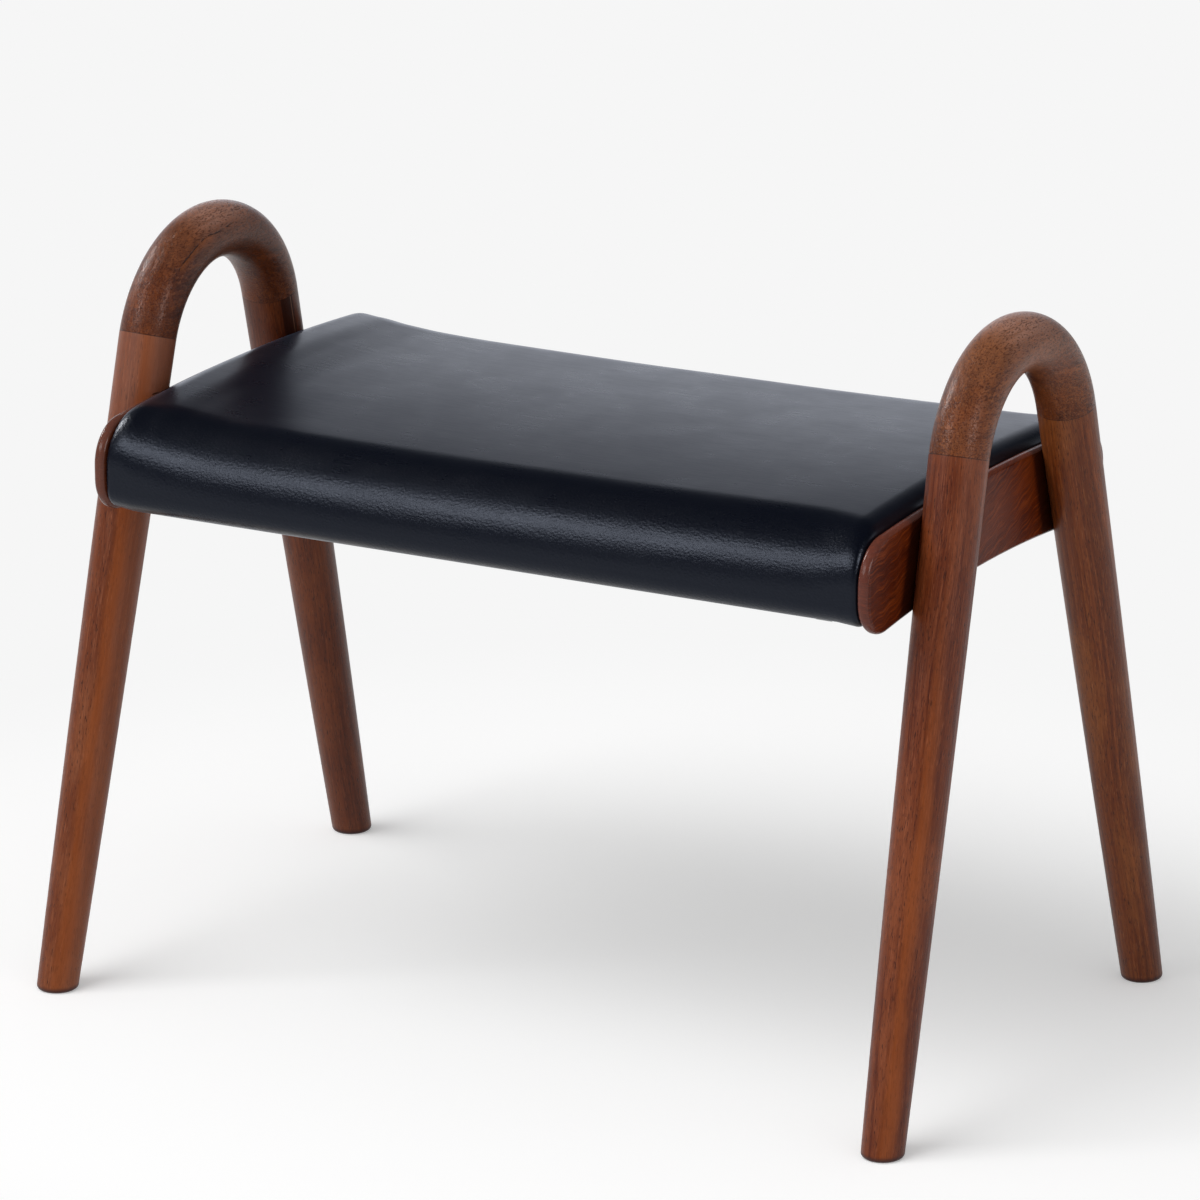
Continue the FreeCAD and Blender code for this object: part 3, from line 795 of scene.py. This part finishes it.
# Foam
CELL_SCALE = 1.1
CELL_RANGE = (0.1, 0.6)
FOAM_DARK = linear(150, 128, 84)
FOAM_LIGHT = linear(205, 186, 138)
FOAM_BUMP = (0.7, 0.4)
FOAM_ROUGH = 0.9


def foam_material():
    shade = Shade("foam")
    cells = shade.put("TexVoronoi", {"Vector": shade.place(), "Scale": CELL_SCALE})
    colour = shade.mix(shade.span(cells, *CELL_RANGE), FOAM_DARK, FOAM_LIGHT)
    return shade.surface({
        "Base Color": colour, "Roughness": FOAM_ROUGH, "Normal": shade.bump(cells, *FOAM_BUMP)})


# Cloth under the seat
WEAVE_PITCH = 0.9
WEAVE_DARK = linear(17, 17, 18)
WEAVE_LIGHT = linear(40, 39, 40)
DUST_NOISE = (0.03, 4.0, 0.6)
DUSTY = (0.5, 0.75, 0.4)
DUST_TONE = linear(72, 68, 62)
WEAVE_BUMP = (0.6, 0.15)
WEAVE_ROUGH = 0.85


def cloth_material():
    """The black cloth under the seat, a thin plain weave."""
    shade = Shade("black_cloth")
    place = shade.place()
    x, y, _ = shade.apart(place)
    warp = shade.math("SINE", shade.times(x, 2 * math.pi / WEAVE_PITCH))
    weft = shade.math("SINE", shade.times(y, 2 * math.pi / WEAVE_PITCH))
    weave = shade.times(warp, weft)
    colour = shade.mix(shade.span(weave, -1.0, 1.0), WEAVE_DARK, WEAVE_LIGHT)
    colour = shade.tinted(colour, DUST_TONE, shade.noise(place, *DUST_NOISE), *DUSTY)
    return shade.surface({
        "Base Color": colour, "Roughness": WEAVE_ROUGH, "Normal": shade.bump(weave, *WEAVE_BUMP)})


# Outlines
def arc_points(centre, radius, start, end, count):
    """Points on an arc; angles are measured from +Z towards +Y."""
    steps = np.linspace(start, end, count)
    return [(centre[0] + radius * math.sin(a), centre[1] + radius * math.cos(a)) for a in steps]


def outline(nose, crown, curve, roll, bottom, corner):
    """Half an outline, from the middle of the top to where the underside starts."""
    top = crown - curve
    lowest = bottom + corner + NOSE_STRAIGHT - top
    roll = min(roll, (curve ** 2 - nose ** 2 - lowest ** 2) / (2 * (curve - nose)))
    y = nose - roll
    z = top + math.sqrt((curve - roll) ** 2 - y ** 2)
    turn = math.atan2(y, z - top)
    across, over, down, under = COUNTS
    points = arc_points((0, top), curve, 0, turn, across)[:-1]
    points += arc_points((y, z), roll, turn, math.pi / 2, over)[:-1]
    points += [(nose, z + (bottom + corner - z) * k / down) for k in range(down)]
    points += arc_points((nose - corner, bottom + corner), corner, math.pi / 2, math.pi, under)
    return points


def station(share):
    """Dip and softness of the seat at a share of its half length, blended smoothly."""
    places = [row[0] for row in STATIONS]
    k = max(i for i in range(len(places) - 1) if places[i] <= share or i == 0)
    low, high = STATIONS[k], STATIONS[k + 1]
    t = clamped((share - low[0]) / (high[0] - low[0]))

    def slope(i, column):
        if i == 0 or i == len(STATIONS) - 1:
            return 0.0
        before, here, after = STATIONS[i - 1], STATIONS[i], STATIONS[i + 1]
        a = (here[column] - before[column]) / (here[0] - before[0])
        b = (after[column] - here[column]) / (after[0] - here[0])
        return 0.0 if a * b <= 0 else 2 * a * b / (a + b)

    def value(column):
        span = high[0] - low[0]
        a, b = low[column], high[column]
        m, n = slope(k, column) * span, slope(k + 1, column) * span
        return ((2 * t ** 3 - 3 * t ** 2 + 1) * a + (t ** 3 - 2 * t ** 2 + t) * m
                + (3 * t ** 2 - 2 * t ** 3) * b + (t ** 3 - t ** 2) * n)

    return value(1), value(2)


def end_drop(share):
    """How far the seat's rounded ends lie below its crown."""
    depth = END_REACH - COVER_HALF * (1 - abs(share))
    return END_ROUND - math.sqrt(END_ROUND ** 2 - max(depth, 0) ** 2)


def cover_half(share, inset):
    """Half the leather's outline at a share of its half length, or an inset one."""
    dip, soft = station(share)
    return outline(
        RAIL_HALF - COVER_SETBACK + soft * COVER_BELLY - inset,
        COVER_CROWN - dip * COVER_DIP - end_drop(share) - inset, TOP_CURVE - inset,
        COVER_END_ROLL + soft * (COVER_ROLL - COVER_END_ROLL) - inset,
        COVER_BOTTOM + inset, BOTTOM_CORNER - inset)


def both_halves(half):
    """The whole outline from the back's underside over the top to the front's."""
    return half[::-1] + [(-y, z) for y, z in half[1:]]


# Soft pieces
def mesh_object(name, points, faces, material):
    data = bpy.data.meshes.new(name)
    data.from_pydata([Vector(p) * MM for p in points], [], faces)
    data.validate()
    data.update()
    data.shade_smooth()
    data.materials.append(material)
    piece = added_object(name, data)
    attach(piece, "root")
    return piece


def thickened(piece, thickness, offset):
    """Gives a sheet its thickness; offset -1 lays it inside and 0 on both sides."""
    skin = piece.modifiers.new("thickness", "SOLIDIFY")
    skin.thickness = thickness * MM
    skin.offset = offset


def grid_faces(rows, columns):
    faces = []
    for i in range(rows - 1):
        for j in range(columns - 1):
            a = i * columns + j
            faces.append((a, a + 1, a + columns + 1, a + columns))
    return faces


def edge_sag(x, y, z):
    """The lower edges hang a little at the left end and are drawn up at the right."""
    low = clamped((COVER_BOTTOM + EDGE_HEIGHT - z) / EDGE_HEIGHT)
    out = clamped((abs(y) - FLANGE_INNER) / (RAIL_HALF - COVER_SETBACK - BOTTOM_CORNER - FLANGE_INNER))
    ends = clamped((COVER_HALF - abs(x)) / EDGE_END)
    return (EDGE_SLOPE * x + EDGE_SHIFT) * eased(low) * out * ends


def cover_row(x, share, inset):
    """The leather across the seat, with the strips turned in under it."""
    line = both_halves(cover_half(share, inset))
    end_y, end_z = line[0]
    step = (FLANGE_INNER - end_y) / FLANGE_COUNT
    back = [(end_y + step * k, end_z) for k in range(FLANGE_COUNT, 0, -1)]
    front = [(-y, z) for y, z in reversed(back)]
    return [(x, y, z + edge_sag(x, y, z)) for y, z in back + line + front]


def wall_row(last, share):
    """A row of an end's wall, a share of the way from its rim to its hem."""
    points = []
    for x, y, z in last:
        aim = max(-FLANGE_INNER, min(FLANGE_INNER, y))
        points.append((x, y + (aim - y) * share, z + (SKIRT_Z - z) * share))
    return points


def cover_rows():
    """Rows of points of the leather, from the left end wall over the seat to the right."""
    inner = COVER_HALF - RIM_ROUND
    edge, turn = inner / COVER_HALF, END_REACH / COVER_HALF
    places = np.concatenate([
        np.linspace(-edge, turn - 1, END_COUNT)[:-1], np.linspace(turn - 1, 1 - turn, BODY_COUNT),
        np.linspace(1 - turn, edge, END_COUNT)[1:]])
    body = [cover_row(COVER_HALF * t, t, 0) for t in places]
    rim = [(inner + RIM_ROUND * math.sin(angle), RIM_ROUND * (1 - math.cos(angle)))
           for angle in np.linspace(0, math.pi / 2, RIM_COUNT + 1)[1:]]
    right = [cover_row(x, x / COVER_HALF, inset) for x, inset in rim]
    left = [cover_row(-x, -x / COVER_HALF, inset) for x, inset in rim]
    right += [wall_row(right[-1], share) for share in WALL_SHARES]
    left += [wall_row(left[-1], share) for share in WALL_SHARES]
    return left[::-1] + body + right


def cloth_moves(flat, faces):
    """How far each point of a slack sheet moves when it settles, held at its edges."""
    data = bpy.data.meshes.new("slack")
    data.from_pydata((flat * MM).tolist(), [], faces)
    sheet = added_object("slack", data)
    held = (flat[:, 2] < COVER_BOTTOM + HELD_HEIGHT) | (abs(flat[:, 0]) > COVER_HALF - HELD_END)
    group = sheet.vertex_groups.new(name="held")
    group.add([int(k) for k in np.flatnonzero(held)], 1.0, "REPLACE")
    cloth = sheet.modifiers.new("cloth", "CLOTH")
    cloth.settings.quality = CLOTH_QUALITY
    cloth.settings.mass = CLOTH_MASS
    cloth.settings.tension_stiffness = CLOTH_STRETCH
    cloth.settings.compression_stiffness = CLOTH_STRETCH
    cloth.settings.shear_stiffness = CLOTH_SHEAR
    cloth.settings.bending_stiffness = CLOTH_BENDING
    cloth.settings.shrink_min = -SLACK
    cloth.settings.shrink_max = -SLACK
    cloth.settings.vertex_group_mass = "held"
    cloth.settings.effector_weights.gravity = 0.0
    cloth.collision_settings.use_collision = False
    cloth.point_cache.frame_start = 1
    cloth.point_cache.frame_end = CLOTH_FRAMES
    scene = bpy.context.scene
    for step in range(1, CLOTH_FRAMES + 1):
        scene.frame_set(step)
    settled = sheet.evaluated_get(bpy.context.evaluated_depsgraph_get()).data
    moves = np.array([vertex.co[:] for vertex in settled.vertices]) / MM - flat
    bpy.data.objects.remove(sheet)
    scene.frame_set(1)
    return moves


def relaxed(rows):
    """Lets the leather settle as a slightly slack cloth that is held at its edges.

    A coarse copy of the sheet is simulated, and the fine one takes over a share of how far
    it moved, which fades out towards the held edges.
    """
    grid = np.array(rows)
    count, width, _ = grid.shape
    across = np.unique(np.append(np.arange(0, count, CLOTH_COARSE), count - 1))
    along = np.unique(np.append(np.arange(0, width, CLOTH_COARSE), width - 1))
    coarse = grid[np.ix_(across, along)]
    flat = coarse.reshape(-1, 3)
    moved = cloth_moves(flat, grid_faces(len(across), len(along)))
    up = np.clip((flat[:, 2] - COVER_BOTTOM - HELD_HEIGHT) / HELD_FADE, 0, 1)
    inward = np.clip((COVER_HALF - HELD_END - abs(flat[:, 0])) / HELD_FADE, 0, 1)
    moved *= CLOTH_SHARE * eased(up * inward)[:, None]
    length = np.linalg.norm(moved, axis=1, keepdims=True)
    moved *= CLOTH_CAP * np.tanh(length / CLOTH_CAP) / np.maximum(length, TINY)
    moved = moved.reshape(coarse.shape)
    wide = np.empty((count, len(along), 3))
    for k in range(3):
        for j in range(len(along)):
            wide[:, j, k] = np.interp(np.arange(count), across, moved[:, j, k])
        for i in range(count):
            grid[i, :, k] += np.interp(np.arange(width), along, wide[i, :, k])
    return grid


def make_leather(material):
    rows = relaxed(cover_rows())
    points = [p for row in rows for p in row]
    piece = mesh_object("leather_seat", points, grid_faces(len(rows), len(rows[0])), material)
    thickened(piece, LEATHER, -1.0)
    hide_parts("leather_cover")


def foam_line(half):
    """Evenly spaced points on both halves of an outline, cut off where the foam ends."""
    kept = [p for p in half if p[1] > FOAM_END]
    last = kept[-1]
    low = half[len(kept)] if len(kept) < len(half) else last
    t = (last[1] - FOAM_END) / max(last[1] - low[1], SMALL)
    kept.append((last[0] + (low[0] - last[0]) * min(t, 1), FOAM_END))
    line = np.array(both_halves(kept))
    steps = np.concatenate([[0], np.cumsum(np.linalg.norm(np.diff(line, axis=0), axis=1))])
    goal = np.linspace(0, steps[-1], FOAM_COUNT)
    return [(np.interp(g, steps, line[:, 0]), np.interp(g, steps, line[:, 1])) for g in goal]


def make_foam(material):
    """The pad between the leather and the panel, open below."""
    inside = foam_line(outline(CORE_NOSE, CORE_TOP, CORE_CURVE, CORE_CORNER, CORE_BOTTOM,
                               CORE_LOW_CORNER))
    inset = LEATHER + FOAM_GAP
    half = COVER_HALF - inset
    rows = []
    for t in np.linspace(-1, 1, FOAM_ROWS):
        loop = foam_line(cover_half(t, inset)) + inside[::-1]
        rows.append([(half * t, y, z) for y, z in loop])
    columns = len(rows[0])
    points = [p for row in rows for p in row]
    faces = grid_faces(len(rows), columns)
    for i in range(len(rows) - 1):
        a, b = i * columns, (i + 1) * columns
        faces.append((a + columns - 1, a, b, b + columns - 1))
    last = (len(rows) - 1) * columns
    for k in range(FOAM_COUNT - 1):
        far = columns - 1 - k
        faces.append((k + 1, k, far, far - 1))
        faces.append((last + k, last + k + 1, last + far - 1, last + far))
    piece = mesh_object("seat_foam", points, faces, material)
    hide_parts("foam_pad")


def make_dust_cover(material):
    """The cloth stapled under the frame, which hangs in slow waves between its held edges."""
    wide, deep = DUST_COUNTS
    points = []
    for i in range(wide):
        x = DUST_HALF * (2 * i / (wide - 1) - 1)
        for j in range(deep):
            y = DUST_REACH * (2 * j / (deep - 1) - 1)
            z = DUST_CROWN - DUST_CURVE + math.sqrt(DUST_CURVE ** 2 - y ** 2) - DUST_THICK / 2
            free = (1 - (x / DUST_HALF) ** 4) * (1 - (y / DUST_REACH) ** 4)
            wave = noise.noise(Vector((x / WAVE_LENGTH, y / WAVE_WIDTH, WAVE_SEED)))
            points.append((x, y, z + free * (WAVE_HEIGHT * wave - DUST_HANG)))
    piece = mesh_object("under_cloth", points, grid_faces(wide, deep), material)
    thickened(piece, DUST_THICK, 0.0)
    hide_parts("dust_cover")


# Studio: directions in the world are parts of a unit vector along X, Y and Z; the floor's
# radius is in millimetres and its fade in metres from the middle
PLAIN_WHITE = (1, 1, 1, 1)
WHITE = 0.922
WALL_BEHIND = (-0.35, 0.35)
WALL_TOP = (0.285, 0.415, 1.0, 0.0)
WALL_SIDE = (-0.80, -0.58, 0.6, 1.11)
GAP_LEFT = (-0.35, -0.10)
GAP_RIGHT = (0.68, 0.48)
GAP_DARK = 0.85
ROOM_GLOW = (0.02, 0.28, 0.28, 0.03)
ROOM_COLOUR = (0.93, 0.965, 1.06, 1)
SKY = (-0.6, 0.6, 0.66, 0.28)
FLOOR_RADIUS = 6000
FLOOR_COLOUR = (0.83, 0.83, 0.83, 1)
FLOOR_LIFT = 0.30
FLOOR_FADE = (0.38, 0.72)


def light_path(shade):
    """Whether a ray comes from the camera, and whether it is a reflected or passed one."""
    node = shade.tree.nodes.new("ShaderNodeLightPath")
    gloss = shade.math("MAXIMUM", node.outputs["Is Glossy Ray"], node.outputs["Is Transmission Ray"])
    return node.outputs["Is Camera Ray"], gloss


def make_world():
    """White to the camera; a bright wall behind and a darker room in front for reflections."""
    shade = Shade("studio", world=True)
    x, y, z = shade.apart(shade.put("TexCoord", out=0))
    gap = shade.times(shade.span(x, *GAP_LEFT), shade.span(x, *GAP_RIGHT))
    side = shade.times(shade.span(x, *WALL_SIDE), shade.minus(1.0, shade.times(gap, GAP_DARK)))
    wall = shade.times(shade.times(shade.span(y, *WALL_BEHIND), shade.span(z, *WALL_TOP)),
                       shade.times(side, WHITE))
    room = shade.plus(wall, shade.span(z, *ROOM_GLOW))
    white = shade.put("Background", {"Color": PLAIN_WHITE, "Strength": WHITE})
    seen = shade.put("Background", {"Color": ROOM_COLOUR, "Strength": room})
    sky = shade.put("Background", {"Color": PLAIN_WHITE, "Strength": shade.span(y, *SKY)})
    camera, gloss = light_path(shade)
    shader = shade.put("MixShader", {0: gloss, 1: sky, 2: seen})
    shader = shade.put("MixShader", {0: camera, 1: shader, 2: white})
    bpy.context.scene.world = shade.shown(shader)


def floor_material():
    """Matt near the stool, plain white further out, and clear from below."""
    shade = Shade("floor")
    away = shade.put("VectorMath", {0: shade.object_place()}, 1, operation="LENGTH")
    matt = shade.put("BsdfDiffuse", {"Color": FLOOR_COLOUR})
    seen = shade.math("MAXIMUM", *light_path(shade))
    lift = shade.put("Emission", {"Color": PLAIN_WHITE, "Strength": shade.times(seen, FLOOR_LIFT)})
    soft = shade.put("AddShader", {0: matt, 1: lift})
    plain = shade.put("Emission", {"Color": PLAIN_WHITE, "Strength": WHITE})
    shader = shade.put("MixShader", {0: shade.span(away, *FLOOR_FADE), 1: soft, 2: plain})
    below = shade.put("NewGeometry", out=6)
    clear = shade.put("BsdfTransparent")
    return shade.shown(shade.put("MixShader", {0: below, 1: shader, 2: clear}))


def make_floor():
    """A pale floor that fades into the white around it and can't be seen from below."""
    points = [(0.0, 0.0, 0.0)]
    for k in range(FLOOR_COUNT):
        angle = 2 * math.pi * k / FLOOR_COUNT
        points.append((FLOOR_RADIUS * math.sin(angle), FLOOR_RADIUS * math.cos(angle), 0))
    faces = [(0, 1 + (k + 1) % FLOOR_COUNT, 1 + k) for k in range(FLOOR_COUNT)]
    data = bpy.data.meshes.new("floor")
    data.from_pydata([Vector(p) * MM for p in points], [], faces)
    data.materials.append(floor_material())
    floor = added_object("floor", data)


# Lamps, in metres and degrees: the key, and boxes with their azimuth, elevation, width,
# height and brightness
LAMP_TARGET = (0, 0, 0.3)
KEY_DIRECTION = (-38, 52)
KEY_DISTANCE = 13.0
KEY_SIZE = 9.2
KEY_LEVEL = 0.56
BOX_DISTANCE = 3.0
BOXES = (
    ("left_box", -93, 29, 0.90, 0.60, 25.0),
    ("front_box", -30, 31, 1.25, 0.90, 9.0),
    ("right_box", 70, 25, 0.90, 1.10, 10.0),
)


def make_lamp(name, azimuth, elevation, distance, width, height, energy):
    """A soft box whose middle lies in a direction from the object."""
    back = direction(math.radians(azimuth), math.radians(elevation))
    data = bpy.data.lights.new(name, "AREA")
    data.shape = "RECTANGLE"
    data.size = width
    data.size_y = height
    data.energy = energy
    lamp = added_object(name, data)
    lamp.location = Vector(LAMP_TARGET) + back * distance
    lamp.rotation_mode = "QUATERNION"
    lamp.rotation_quaternion = back.to_track_quat("Z", "Y")
    return lamp


def make_lamps():
    """One large soft key for the light and the shadow, and soft boxes for the shine alone."""
    energy = KEY_LEVEL * math.pi ** 2 * KEY_DISTANCE ** 2
    key = make_lamp("key", *KEY_DIRECTION, KEY_DISTANCE, KEY_SIZE, KEY_SIZE, energy)
    key.visible_glossy = False
    for name, azimuth, elevation, width, height, brightness in BOXES:
        energy = brightness * math.pi * width * height
        box = make_lamp(name, azimuth, elevation, BOX_DISTANCE, width, height, energy)
        box.visible_diffuse = False


# Dark, middle and light tones of the woods; those of the teak are for the right and the left
FRONT_LEG_TONES = {
    1: (linear(86, 32, 10), linear(112, 51, 22), linear(140, 74, 40)),
    -1: (linear(100, 44, 16), linear(118, 57, 26), linear(144, 82, 48))}
BACK_LEG_TONES = {
    1: (linear(90, 38, 10), linear(120, 58, 22), linear(140, 80, 38)),
    -1: (linear(74, 29, 10), linear(98, 44, 18), linear(118, 60, 28))}
ARCH_TONES = {
    1: (linear(66, 27, 10), linear(106, 52, 24), linear(144, 84, 46)),
    -1: (linear(60, 22, 8), linear(94, 43, 20), linear(132, 72, 38))}
RAIL_TONES = {
    1: (linear(50, 11, 0), linear(86, 26, 2), linear(126, 54, 14)),
    -1: (linear(46, 15, 6), linear(74, 30, 15), linear(104, 54, 30))}
BEECH_TONES = (linear(168, 128, 88), linear(196, 158, 116), linear(214, 182, 144))
BIRCH_TONES = (linear(150, 112, 74), linear(196, 162, 120), linear(216, 188, 150))
SCREW_TONE, SCREW_ROUGH = linear(150, 146, 138), 0.3
STAPLE_TONE, STAPLE_ROUGH = linear(176, 176, 174), 0.28
BEECH_SEEDS = (11.0, 12.0)
PLY_SEED = 13.0


def dress(name, material):
    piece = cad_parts[name]
    piece.data.materials.clear()
    piece.data.materials.append(material)


def dress_teak():
    """Each piece of teak has a material and a seed of its own."""
    seed = 1.0
    for side in (1, -1):
        name = side_name(side)
        dress(name + "_front_leg", leg_material(side, -1, FRONT_LEG_TONES[side], seed))
        dress(name + "_back_leg", leg_material(side, 1, BACK_LEG_TONES[side], seed + 1))
        dress(name + "_handle_arch", arch_material(side, ARCH_TONES[side], seed + 2))
        dress(name + "_side_rail", rail_material(side, RAIL_TONES[side], seed + 3))
        seed += 4


def dress_inside():
    """The seat's frame and panel, the dowels, the screws and the staples."""
    along = plain_wood("beech_along", BEECH_TONES, 0, BEECH_SEEDS[0])
    across = plain_wood("beech_across", BEECH_TONES, 1, BEECH_SEEDS[1])
    materials = (
        ("_bar", along),
        (("_batten", "_block", "_dowel", "_dowels"), across),
        ("seat_panel", plain_wood("plywood", BIRCH_TONES, 0, PLY_SEED, True)),
        ("_screws", steel("screw_steel", SCREW_TONE, SCREW_ROUGH)),
        ("_staples", steel("staple_steel", STAPLE_TONE, STAPLE_ROUGH)),
    )
    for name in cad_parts:
        for ending, material in materials:
            if name.endswith(ending):
                dress(name, material)


def main():
    make_camera()
    make_world()
    make_floor()
    make_lamps()
    dress_teak()
    dress_inside()
    make_leather(leather_material())
    make_foam(foam_material())
    make_dust_cover(cloth_material())


main()
bpy.context.scene.view_settings.view_transform = "Standard"
bpy.context.view_layer.update()
